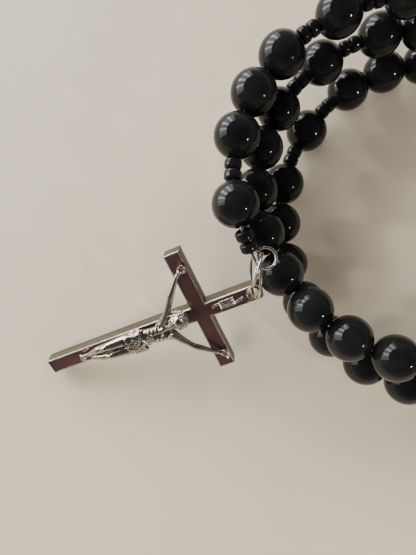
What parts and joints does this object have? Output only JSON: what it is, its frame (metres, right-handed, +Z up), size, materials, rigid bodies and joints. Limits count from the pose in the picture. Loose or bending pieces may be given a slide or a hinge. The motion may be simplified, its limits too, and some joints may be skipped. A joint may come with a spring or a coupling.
{
  "type": "rosary bracelet",
  "caption": "Wrap rosary of round black glass beads on a coiled spring wire, with seed spacers and a silver crucifix with maroon inlay hung on a jump ring.",
  "frame": {"origin": "centre of the bottom of the bounding box, on the surface the rosary lies on", "axes": "+Z up, along the coil's axis within a few degrees; the crucifix lies towards -X"},
  "size_m": [0.1159, 0.075, 0.0261],
  "materials": {
    "black_glass": "opaque black glass, high gloss",
    "bright_silver": "polished silver plate",
    "satin_silver": "satin silver plate",
    "maroon_enamel": "glossy dark maroon-brown soft enamel"
  },
  "bodies": {
    "coil_lower_turn": {"spring_wire_5": "bright_silver", "seed_spacer_10": "black_glass", "seed_spacer_11": "black_glass", "seed_spacer_12": "black_glass", "seed_spacer_13": "black_glass", "decade_4_beads_1_2": "black_glass", "decade_4_beads_3_4": "black_glass", "decade_4_beads_5_6": "black_glass", "decade_4_beads_7_8": "black_glass", "decade_4_beads_9_10": "black_glass", "decade_5_beads_1_2": "black_glass", "decade_5_beads_3_4": "black_glass", "decade_5_beads_5_6": "black_glass", "decade_5_beads_7_8": "black_glass", "decade_5_beads_9_10": "black_glass"},
    "coil_third_decade": {"spring_wire_4": "bright_silver", "seed_spacer_08": "black_glass", "seed_spacer_09": "black_glass", "decade_3_beads_1_2": "black_glass", "decade_3_beads_3_4": "black_glass", "decade_3_beads_5_6": "black_glass", "decade_3_beads_7_8": "black_glass", "decade_3_beads_9_10": "black_glass"},
    "coil_second_decade": {"spring_wire_3": "bright_silver", "seed_spacer_06": "black_glass", "seed_spacer_07": "black_glass", "decade_2_beads_1_2": "black_glass", "decade_2_beads_3_4": "black_glass", "decade_2_beads_5_6": "black_glass", "decade_2_beads_7_8": "black_glass", "decade_2_beads_9_10": "black_glass"},
    "coil_first_decade": {"spring_wire_2": "bright_silver", "seed_spacer_04": "black_glass", "seed_spacer_05": "black_glass", "decade_1_beads_1_2": "black_glass", "decade_1_beads_3_4": "black_glass", "decade_1_beads_5_6": "black_glass", "decade_1_beads_7_8": "black_glass", "decade_1_beads_9_10": "black_glass"},
    "coil_pendant_end": {"spring_wire_1": "bright_silver", "seed_spacer_01": "black_glass", "seed_spacer_02": "black_glass", "seed_spacer_03": "black_glass"},
    "pendant_our_father_bead": {"pendant_our_father_bead": "black_glass"},
    "pendant_hail_mary_bead_1": {"pendant_hail_mary_bead_1": "black_glass"},
    "pendant_hail_mary_bead_2": {"pendant_hail_mary_bead_2": "black_glass"},
    "pendant_hail_mary_bead_3": {"pendant_hail_mary_bead_3": "black_glass"},
    "our_father_bead_1": {"our_father_bead_1": "black_glass"},
    "our_father_bead_2": {"our_father_bead_2": "black_glass"},
    "our_father_bead_3": {"our_father_bead_3": "black_glass"},
    "our_father_bead_4": {"our_father_bead_4": "black_glass"},
    "our_father_bead_5": {"our_father_bead_5": "black_glass"},
    "jump_ring": {"jump_ring": "bright_silver"},
    "spare_jump_ring": {"spare_jump_ring": "bright_silver"},
    "crucifix": {"crucifix_cross": "satin_silver", "crucifix_enamel": "maroon_enamel", "crucifix_scroll": "bright_silver", "crucifix_corpus": "bright_silver"}
  },
  "joints": [
    {"name": "coil_opening_1", "type": "hinge", "parent": "coil_lower_turn", "child": "coil_third_decade", "pos_m": [0.03919, -0.02519, 0.01091], "axis": [0.1325, 0.0344, -0.9906], "range_deg": [0, 10], "stiffness_Nm_per_rad": 0.03},
    {"name": "coil_opening_2", "type": "hinge", "parent": "coil_third_decade", "child": "coil_second_decade", "pos_m": [-0.00218, 0.02867, 0.01161], "axis": [0.053, -0.0242, -0.9983], "range_deg": [0, 10], "stiffness_Nm_per_rad": 0.03},
    {"name": "coil_opening_3", "type": "hinge", "parent": "coil_second_decade", "child": "coil_first_decade", "pos_m": [0.02785, -0.02523, 0.01886], "axis": [0.1918, 0.2081, -0.9591], "range_deg": [0, 5], "stiffness_Nm_per_rad": 0.03},
    {"name": "coil_opening_4", "type": "hinge", "parent": "coil_first_decade", "child": "coil_pendant_end", "pos_m": [-0.00058, 0.03215, 0.01943], "axis": [-0.043, 0.021, -0.9989], "range_deg": [0, 15], "stiffness_Nm_per_rad": 0.03},
    {"name": "pendant_our_father_bead_spin", "type": "hinge", "parent": "coil_pendant_end", "child": "pendant_our_father_bead", "pos_m": [-0.02189, -0.00178, 0.01886], "axis": [-0.167, 0.9836, -0.0678], "continuous": true},
    {"name": "pendant_hail_mary_bead_1_spin", "type": "hinge", "parent": "coil_pendant_end", "child": "pendant_hail_mary_bead_1", "pos_m": [-0.02155, 0.00997, 0.01835], "axis": [0.2259, 0.974, -0.0188], "continuous": true},
    {"name": "pendant_hail_mary_bead_2_spin", "type": "hinge", "parent": "coil_pendant_end", "child": "pendant_hail_mary_bead_2", "pos_m": [-0.01869, 0.01748, 0.01832], "axis": [0.4785, 0.878, 0.0121], "continuous": true},
    {"name": "pendant_hail_mary_bead_3_spin", "type": "hinge", "parent": "coil_pendant_end", "child": "pendant_hail_mary_bead_3", "pos_m": [-0.01394, 0.02394, 0.01853], "axis": [0.6928, 0.7201, 0.0383], "continuous": true},
    {"name": "our_father_bead_1_spin", "type": "hinge", "parent": "coil_pendant_end", "child": "our_father_bead_1", "pos_m": [-0.00433, 0.03072, 0.01916], "axis": [0.9085, 0.4128, 0.0649], "continuous": true},
    {"name": "our_father_bead_2_spin", "type": "hinge", "parent": "coil_first_decade", "child": "our_father_bead_2", "pos_m": [0.03129, -0.02323, 0.0194], "axis": [-0.8223, -0.5536, -0.1318], "continuous": true},
    {"name": "our_father_bead_3_spin", "type": "hinge", "parent": "coil_second_decade", "child": "our_father_bead_3", "pos_m": [-0.00559, 0.02654, 0.01144], "axis": [0.8098, 0.5855, 0.0385], "continuous": true},
    {"name": "our_father_bead_4_spin", "type": "hinge", "parent": "coil_third_decade", "child": "our_father_bead_4", "pos_m": [0.04186, -0.0222, 0.01132], "axis": [-0.6111, -0.7853, -0.0992], "continuous": true},
    {"name": "our_father_bead_5_spin", "type": "hinge", "parent": "coil_lower_turn", "child": "our_father_bead_5", "pos_m": [-0.00703, 0.01674, 0.00401], "axis": [0.5645, 0.8254, 0.0104], "continuous": true},
    {"name": "jump_ring_swing", "type": "hinge", "parent": "coil_pendant_end", "child": "jump_ring", "pos_m": [-0.01797, -0.01181, 0.01728], "axis": [-0.9919, -0.047, 0.118], "range_deg": [0, 13]},
    {"name": "crucifix_swing", "type": "hinge", "parent": "jump_ring", "child": "crucifix", "pos_m": [-0.0183, -0.01307, 0.01398], "axis": [-0.9919, -0.047, 0.118], "range_deg": [-15, 30]},
    {"name": "spare_ring_swing", "type": "hinge", "parent": "coil_pendant_end", "child": "spare_jump_ring", "pos_m": [-0.01802, -0.01177, 0.01727], "axis": [-0.9635, 0.267, -0.017], "range_deg": [0, 20]}
  ],
  "couplings": [
    {"joint": "coil_opening_2", "follows": "coil_opening_1", "ratio": 1},
    {"joint": "coil_opening_3", "follows": "coil_opening_1", "ratio": 0.5},
    {"joint": "coil_opening_4", "follows": "coil_opening_1", "ratio": 1.5}
  ]
}
